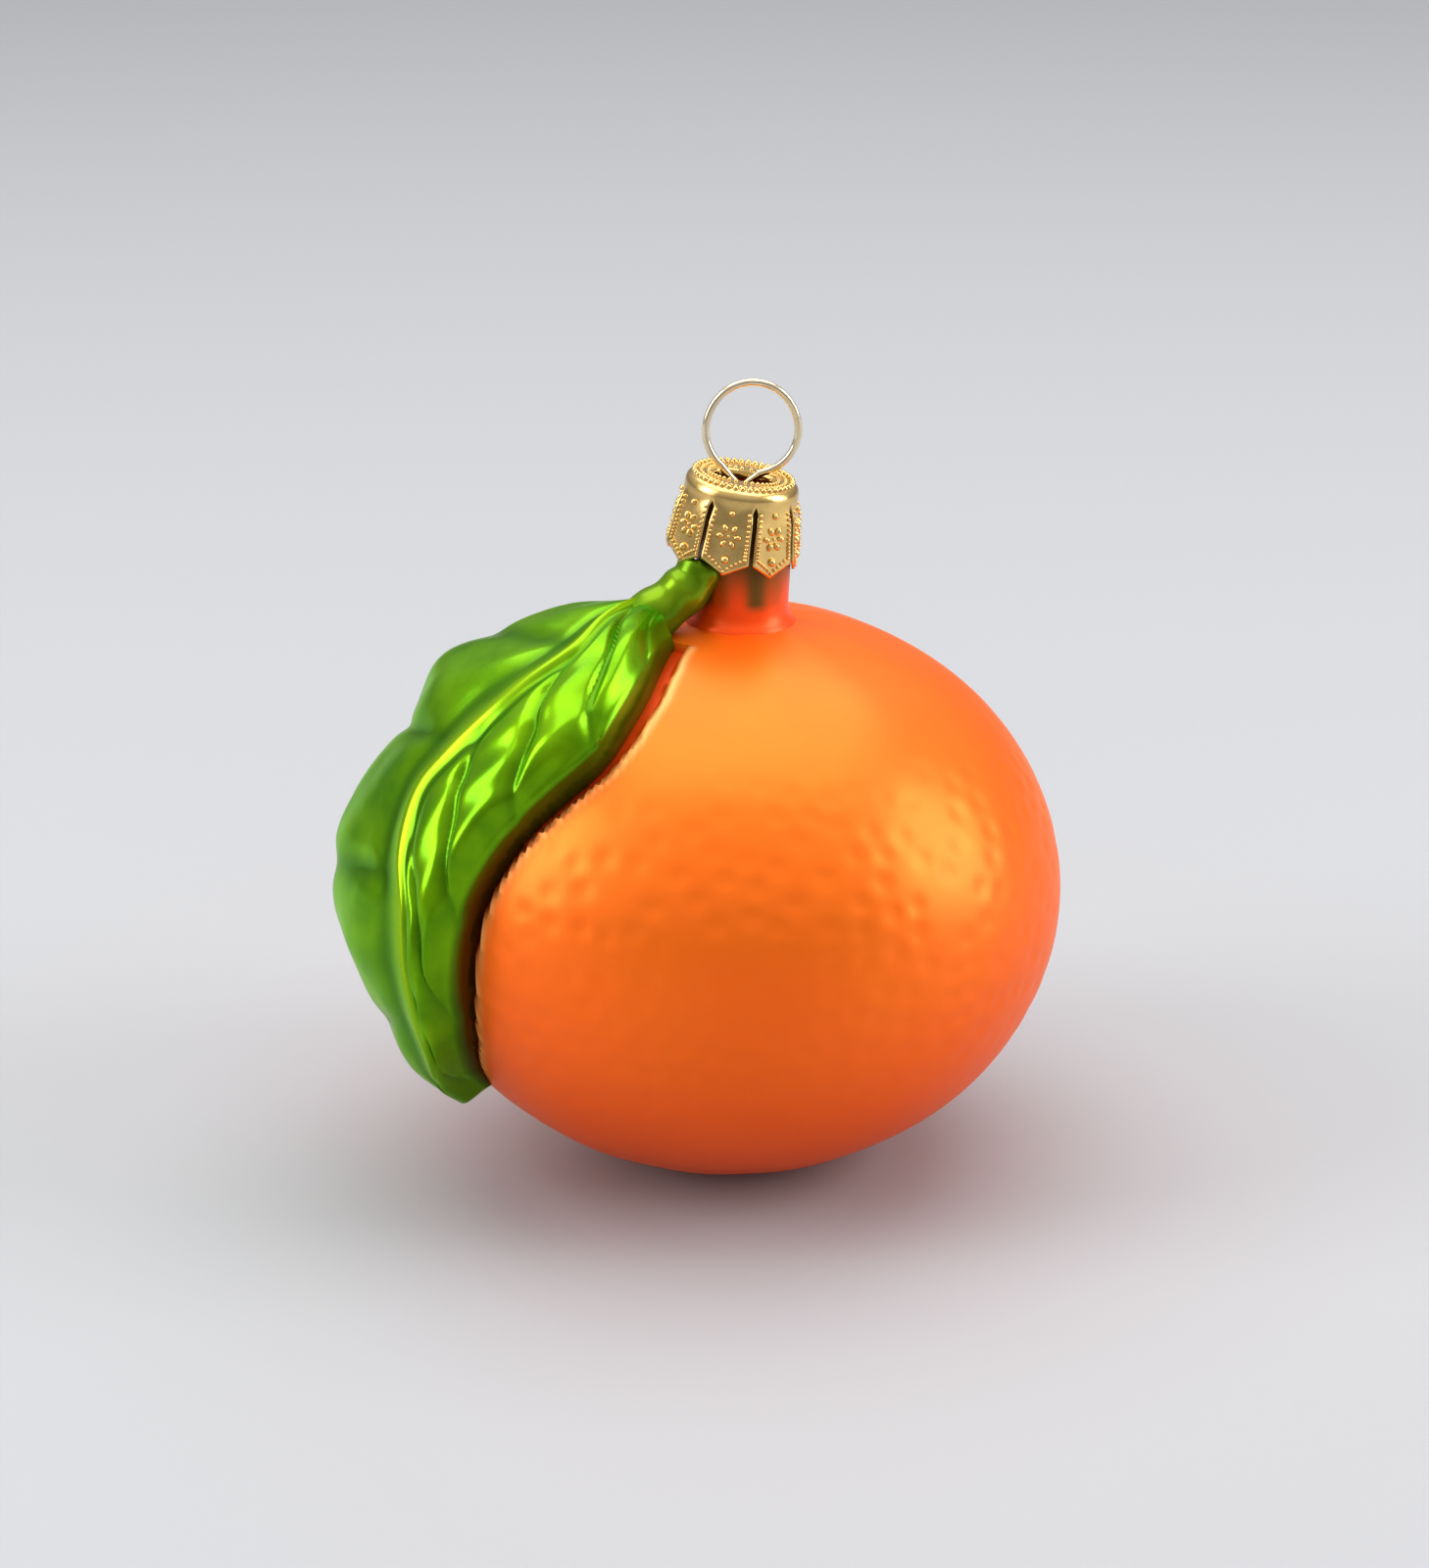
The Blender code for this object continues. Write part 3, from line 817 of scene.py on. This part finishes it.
def bead_tree():
    """A low dome on every point, sized and turned by the point's attributes."""
    tree = bpy.data.node_groups.new("stamped_beads", "GeometryNodeTree")
    for label, kind in (
        ("Geometry", "NodeSocketGeometry"), ("Unit", "NodeSocketFloat"), ("Material", "NodeSocketMaterial"),
    ):
        tree.interface.new_socket(name=label, in_out="INPUT", socket_type=kind)
    tree.interface.new_socket(name="Geometry", in_out="OUTPUT", socket_type="NodeSocketGeometry")
    nodes, links = tree.nodes, tree.links
    start, end = nodes.new("NodeGroupInput"), nodes.new("NodeGroupOutput")
    dome = nodes.new("GeometryNodeMeshUVSphere")
    dome.inputs["Segments"].default_value = 8
    dome.inputs["Rings"].default_value = 5
    links.new(start.outputs["Unit"], dome.inputs["Radius"])
    soft = nodes.new("GeometryNodeSetShadeSmooth")
    links.new(dome.outputs[0], soft.inputs[0])
    size = nodes.new("GeometryNodeInputNamedAttribute")
    size.data_type = "FLOAT_VECTOR"
    size.inputs["Name"].default_value = "bead_size"
    turn = nodes.new("GeometryNodeInputNamedAttribute")
    turn.data_type = "FLOAT_VECTOR"
    turn.inputs["Name"].default_value = "bead_turn"
    to_turn = nodes.new("FunctionNodeEulerToRotation")
    links.new(turn.outputs[0], to_turn.inputs[0])
    spread = nodes.new("GeometryNodeInstanceOnPoints")
    links.new(start.outputs["Geometry"], spread.inputs["Points"])
    links.new(soft.outputs[0], spread.inputs["Instance"])
    links.new(to_turn.outputs[0], spread.inputs["Rotation"])
    links.new(size.outputs[0], spread.inputs["Scale"])
    realize = nodes.new("GeometryNodeRealizeInstances")
    links.new(spread.outputs[0], realize.inputs[0])
    paint = nodes.new("GeometryNodeSetMaterial")
    links.new(realize.outputs[0], paint.inputs["Geometry"])
    links.new(start.outputs["Material"], paint.inputs["Material"])
    links.new(paint.outputs[0], end.inputs[0])
    return tree


def gold_material(name, colour, pooled, roughness):
    """Bare polished metal, faintly clouded. Returns the material."""
    return lacquer_material(
        name, colour, pooled, roughness, metallic=1.0, coat=0.0, coat_roughness=0.1, cloud=500.0,
        amount=0.5, bump=0.25)[0]


class OBJECT_OT_build_cap(bpy.types.Operator):
    """Build the stamped cap with its tabs, slot and beads"""
    bl_idname = "ornament.build_cap"
    bl_label = "Build Cap"

    def execute(self, context):
        cap = context.scene.ornament_cap
        place = Matrix.Translation(cap.top) @ Euler((0.0, cap.lean, cap.turn)).to_matrix().to_4x4()
        gold = gold_material("stamped_gold", cap.gold, (0.48, 0.30, 0.085), 0.17)

        shell = link_object("cap_shell", mesh_from("cap_shell", cap_sheet(), 50))
        wall = shell.modifiers.new("wall", "SOLIDIFY")
        wall.thickness = cap.metal
        wall.offset = -1.0
        bpy.context.view_layer.update()
        evaluated = shell.evaluated_get(bpy.context.evaluated_depsgraph_get())
        mesh = bpy.data.meshes.new_from_object(evaluated)
        shell.modifiers.clear()
        shell.data = mesh
        mesh.materials.clear()
        mesh.materials.append(gold)
        mesh.transform(place)
        place_piece(shell, "ornament_cap")

        places = bead_places()
        points = bpy.data.meshes.new("cap_beads")
        points.from_pydata([spot * MM for spot, outward, ray, size in places], [], [])
        sizes = points.attributes.new("bead_size", "FLOAT_VECTOR", "POINT")
        turns = points.attributes.new("bead_turn", "FLOAT_VECTOR", "POINT")
        for i, (spot, outward, ray, size) in enumerate(places):
            side = outward.cross(ray).normalized()
            along = side.cross(outward).normalized()
            axes = Matrix((along, side, outward)).transposed()
            sizes.data[i].vector = size
            turns.data[i].vector = axes.to_euler()
        beads = link_object("cap_beads", points)
        apply_tree(beads, bead_tree(), {"Unit": MM, "Material": gold})
        beads.data.transform(place)
        place_piece(beads, "ornament_cap")
        return {"FINISHED"}


# Hanger

RING_CENTRE = (2.0, 0.0, 70.6)  # mm
UPPER_STRETCH = 1.075


class OBJECT_OT_build_hanger(bpy.types.Operator):
    """Build the wire ring and its two crossing legs"""
    bl_idname = "ornament.build_hanger"
    bl_label = "Build Hanger"

    def execute(self, context):
        wire = context.scene.ornament_wire
        centre = Vector(RING_CENTRE) * MM
        gap = 0.5 * MM
        start = math.radians(-75.0)
        stop = math.radians(228.0)
        steps = 120
        right = [Vector((x * MM, gap, z * MM)) for x, z in reversed(RIGHT_LEG)]
        left = [Vector((x * MM, -gap, z * MM)) for x, z in LEFT_LEG]
        ring = []
        for i in range(steps + 1):
            angle = start + (stop - start) * i / steps
            rise = UPPER_STRETCH if math.sin(angle) > 0 else 1.0
            ring.append(centre + Vector((
                wire.ring_radius * math.cos(angle),
                gap * math.cos(math.pi * i / steps),
                wire.ring_radius * rise * math.sin(angle),
            )))
        entry = smooth_route(right + ring[:2], 8)
        leave = smooth_route(ring[-2:] + left, 8)
        route = entry[:-9] + ring + leave[9:]
        mesh = tube_mesh("wire_ring", route, [wire.radius] * len(route), 16)
        mesh.materials.append(gold_material("pale_gold_wire", wire.pale_gold, (0.55, 0.44, 0.28), 0.14))
        place_piece(link_object("wire_ring", mesh), "wire_hanger")
        return {"FINISHED"}


# Stage


def soft_light(name, place, aim, size, power):
    lamp = bpy.data.lights.new(name, "AREA")
    lamp.shape = "RECTANGLE"
    lamp.size, lamp.size_y = size
    lamp.energy = power
    item = bpy.data.objects.new(name, lamp)
    item.location = place
    item.rotation_euler = (Vector(aim) - Vector(place)).to_track_quat("-Z", "Y").to_euler()
    bpy.context.scene.collection.objects.link(item)


class OBJECT_OT_build_stage(bpy.types.Operator):
    """Set the plain floor, the soft lights and the camera"""
    bl_idname = "ornament.build_stage"
    bl_label = "Build Stage"

    def execute(self, context):
        scene, stage = context.scene, context.scene.ornament_stage
        form = bmesh.new()
        bmesh.ops.create_grid(form, x_segments=1, y_segments=1, size=4.0)
        floor = link_object("floor", mesh_from("floor", form))
        paper = bpy.data.materials.new("pale_floor")
        paper.use_nodes = True
        shader = paper.node_tree.nodes["Principled BSDF"]
        shader.inputs["Base Color"].default_value = (*stage.floor, 1.0)
        shader.inputs["Roughness"].default_value = 0.7
        floor.data.materials.append(paper)

        world = bpy.data.worlds.new("studio")
        world.use_nodes = True
        nodes, links = world.node_tree.nodes, world.node_tree.links
        back = nodes["Background"]
        place = nodes.new("ShaderNodeTexCoord")
        split = nodes.new("ShaderNodeSeparateXYZ")
        links.new(place.outputs["Generated"], split.inputs[0])
        ramp = nodes.new("ShaderNodeValToRGB")
        ramp.color_ramp.elements[0].position = 0.0
        ramp.color_ramp.elements[0].color = (0.30, 0.29, 0.29, 1.0)
        ramp.color_ramp.elements[1].position = 0.75
        ramp.color_ramp.elements[1].color = (1.0, 1.0, 1.02, 1.0)
        links.new(split.outputs["Z"], ramp.inputs[0])
        links.new(ramp.outputs[0], back.inputs["Color"])
        back.inputs["Strength"].default_value = 0.75
        scene.world = world

        aim = (0.0, 0.0, 0.03)
        soft_light("overhead_soft_light", (0.0, 0.15, 0.75), aim, (1.0, 0.8), 6.0)
        soft_light("left_soft_light", (-0.6, -0.15, 0.35), aim, (0.35, 0.5), 3.0)
        soft_light("right_soft_light", (0.65, -0.05, 0.3), aim, (0.35, 0.5), 3.2)

        camera = bpy.data.cameras.new("camera")
        camera.lens = stage.lens
        camera.sensor_width = 36.0
        camera.clip_start = 0.01
        viewer = bpy.data.objects.new("camera", camera)
        viewer.location = (0.0, -0.37343, 0.16944)
        viewer.rotation_euler = (math.radians(90.0 - 19.6487), 0.0, math.radians(0.2225))
        scene.collection.objects.link(viewer)
        scene.camera = viewer
        scene.view_settings.view_transform = "Standard"
        return {"FINISHED"}


class VIEW3D_PT_ornament(bpy.types.Panel):
    """Sidebar panel that builds the ornament"""
    bl_label = "Glass Mandarin Ornament"
    bl_idname = "VIEW3D_PT_ornament"
    bl_space_type = "VIEW_3D"
    bl_region_type = "UI"
    bl_category = "Ornament"

    def draw(self, context):
        for operator in OPERATORS:
            self.layout.operator(operator.bl_idname)


SETTINGS = {
    "ornament_fruit": FruitSettings,
    "ornament_leaf": LeafSettings,
    "ornament_cap": CapSettings,
    "ornament_wire": WireSettings,
    "ornament_stage": StageSettings,
}
OPERATORS = (
    OBJECT_OT_build_fruit,
    OBJECT_OT_build_neck,
    OBJECT_OT_build_leaf,
    OBJECT_OT_build_cap,
    OBJECT_OT_build_hanger,
    OBJECT_OT_build_stage,
)


def register():
    for cls in (*SETTINGS.values(), *OPERATORS, VIEW3D_PT_ornament):
        bpy.utils.register_class(cls)
    for name, cls in SETTINGS.items():
        setattr(bpy.types.Scene, name, PointerProperty(type=cls))


def unregister():
    for name in SETTINGS:
        delattr(bpy.types.Scene, name)
    for cls in reversed((*SETTINGS.values(), *OPERATORS, VIEW3D_PT_ornament)):
        bpy.utils.unregister_class(cls)


def main():
    register()
    bpy.ops.ornament.build_fruit()
    bpy.ops.ornament.build_neck()
    bpy.ops.ornament.build_leaf()
    bpy.ops.ornament.build_cap()
    bpy.ops.ornament.build_hanger()
    bpy.ops.ornament.build_stage()


if __name__ == "__main__":
    main()
